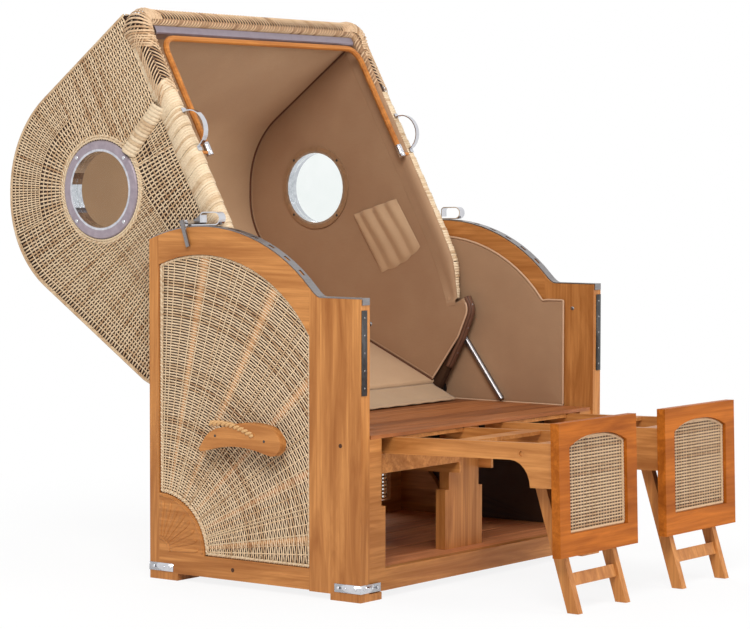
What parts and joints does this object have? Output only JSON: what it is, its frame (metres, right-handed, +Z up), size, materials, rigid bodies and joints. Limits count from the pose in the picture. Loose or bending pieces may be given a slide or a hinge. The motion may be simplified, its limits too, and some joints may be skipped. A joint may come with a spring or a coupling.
{
  "type": "hooded beach chair",
  "caption": "Two-seat hooded beach chair: wicker hood that reclines on a slatted wooden box with arched woven sides and pull-out footrests on folding legs.",
  "frame": {"origin": "on the floor, midway between the sides and midway between the foremost and rearmost points of the part at rest", "axes": "+Z up, +X to the right of someone looking in from the front along +Y, the sitters face -Y"},
  "size_m": [1.2966, 1.9452, 1.6291],
  "materials": {
    "wood": "oiled warm hardwood, satin",
    "rattan": "woven natural cane, satin",
    "fabric": "smooth taupe outdoor cloth, matte",
    "pale_fabric": "paler beige outdoor cloth, matte",
    "chrome": "polished",
    "steel": "brushed",
    "aluminium": "satin grey-lilac",
    "glass": "clear",
    "black_metal": "satin black"
  },
  "bodies": {
    "base": {"seat_deck": "wood", "floor_boards": "wood", "front_frame": "wood", "centre_post": "wood", "footrest_runner": "wood", "rear_frame": "wood", "rear_weave": "rattan", "left_rear_stile": "wood", "left_front_post": "wood", "left_bottom_rail": "wood", "left_arched_rail": "wood", "left_fan_weave": "rattan", "left_side_lining": "fabric", "left_carry_handle": "wood", "left_latch_rail": "steel", "left_pivot_pin": "steel", "right_rear_stile": "wood", "right_front_post": "wood", "right_bottom_rail": "wood", "right_arched_rail": "wood", "right_fan_weave": "rattan", "right_side_lining": "fabric", "right_carry_handle": "wood", "right_latch_rail": "steel", "right_pivot_pin": "steel"},
    "hood": {"hood_back": "rattan", "back_lining": "fabric", "edge_roll": "rattan", "awning_cassette": "aluminium", "storage_pocket": "fabric", "left_hood_wall": "rattan", "left_hood_lining": "fabric", "left_porthole_ring": "chrome", "left_porthole_pane": "glass", "left_grab_loop": "chrome", "left_latch_bracket": "steel", "right_hood_wall": "rattan", "right_hood_lining": "fabric", "right_porthole_ring": "chrome", "right_porthole_pane": "glass", "right_grab_loop": "chrome", "right_latch_bracket": "steel"},
    "awning_bow": {"awning_bow": "wood"},
    "seat_flap": {"seat_flap": "pale_fabric"},
    "left_latch_lever": {"left_latch_lever": "chrome"},
    "left_spring_barrel": {"left_spring_barrel": "black_metal"},
    "left_spring_rod": {"left_spring_rod": "steel"},
    "left_footrest": {"left_footrest_frame": "wood", "left_footrest_front": "wood", "left_footrest_weave": "rattan"},
    "left_legs": {"left_leg_frame": "wood"},
    "right_latch_lever": {"right_latch_lever": "chrome"},
    "right_spring_barrel": {"right_spring_barrel": "black_metal"},
    "right_spring_rod": {"right_spring_rod": "steel"},
    "right_footrest": {"right_footrest_frame": "wood", "right_footrest_front": "wood", "right_footrest_weave": "rattan"},
    "right_legs": {"right_leg_frame": "wood"}
  },
  "joints": [
    {"name": "hood_tilt", "type": "hinge", "parent": "base", "child": "hood", "pos_m": [0, 0.15177, 0.48], "axis": [1, 0, 0], "range_deg": [0, 28.5]},
    {"name": "awning_swing", "type": "hinge", "parent": "hood", "child": "awning_bow", "pos_m": [0, 0.24373, 1.21522], "axis": [1, 0, 0], "range_deg": [0, 80]},
    {"name": "seat_flap_swing", "type": "hinge", "parent": "hood", "child": "seat_flap", "pos_m": [0, 0.13579, 0.49644], "axis": [-1, 0, 0], "range_deg": [0, 34.5]},
    {"name": "left_latch_lift", "type": "hinge", "parent": "hood", "child": "left_latch_lever", "pos_m": [-0.58, 0.21767, 1.01677], "axis": [-1, 0, 0], "range_deg": [0, 35]},
    {"name": "left_spring_swing", "type": "hinge", "parent": "base", "child": "left_spring_barrel", "pos_m": [-0.53585, -0.08323, 0.466], "axis": [1, 0, 0], "range_deg": [0, 21.2]},
    {"name": "left_spring_slide", "type": "slide", "parent": "left_spring_barrel", "child": "left_spring_rod", "axis": [0, -0.5981, -0.8014], "range_m": [0, 0.1011]},
    {"name": "left_footrest_slide", "type": "slide", "parent": "base", "child": "left_footrest", "axis": [0, 0.9997, -0.0262], "range_m": [0, 0.505]},
    {"name": "left_leg_fold", "type": "hinge", "parent": "left_footrest", "child": "left_legs", "pos_m": [-0.268, -0.82324, 0.41989], "axis": [1, 0, 0], "range_deg": [0, 105]},
    {"name": "right_latch_lift", "type": "hinge", "parent": "hood", "child": "right_latch_lever", "pos_m": [0.58, 0.21767, 1.01677], "axis": [-1, 0, 0], "range_deg": [0, 35]},
    {"name": "right_spring_swing", "type": "hinge", "parent": "base", "child": "right_spring_barrel", "pos_m": [0.53585, -0.08323, 0.466], "axis": [1, 0, 0], "range_deg": [0, 21.2]},
    {"name": "right_spring_slide", "type": "slide", "parent": "right_spring_barrel", "child": "right_spring_rod", "axis": [0, -0.5981, -0.8014], "range_m": [0, 0.1011]},
    {"name": "right_footrest_slide", "type": "slide", "parent": "base", "child": "right_footrest", "axis": [0, 0.9997, -0.0262], "range_m": [0, 0.505]},
    {"name": "right_leg_fold", "type": "hinge", "parent": "right_footrest", "child": "right_legs", "pos_m": [0.268, -0.82324, 0.41989], "axis": [1, 0, 0], "range_deg": [0, 105]}
  ],
  "couplings": [
    {"joint": "seat_flap_swing", "follows": "hood_tilt", "ratio": 1.2082},
    {"joint": "left_spring_swing", "follows": "hood_tilt", "ratio": 0.74211},
    {"joint": "left_spring_slide", "follows": "hood_tilt", "m_per_rad": 0.20308},
    {"joint": "right_spring_swing", "follows": "hood_tilt", "ratio": 0.74211},
    {"joint": "right_spring_slide", "follows": "hood_tilt", "m_per_rad": 0.20308}
  ]
}
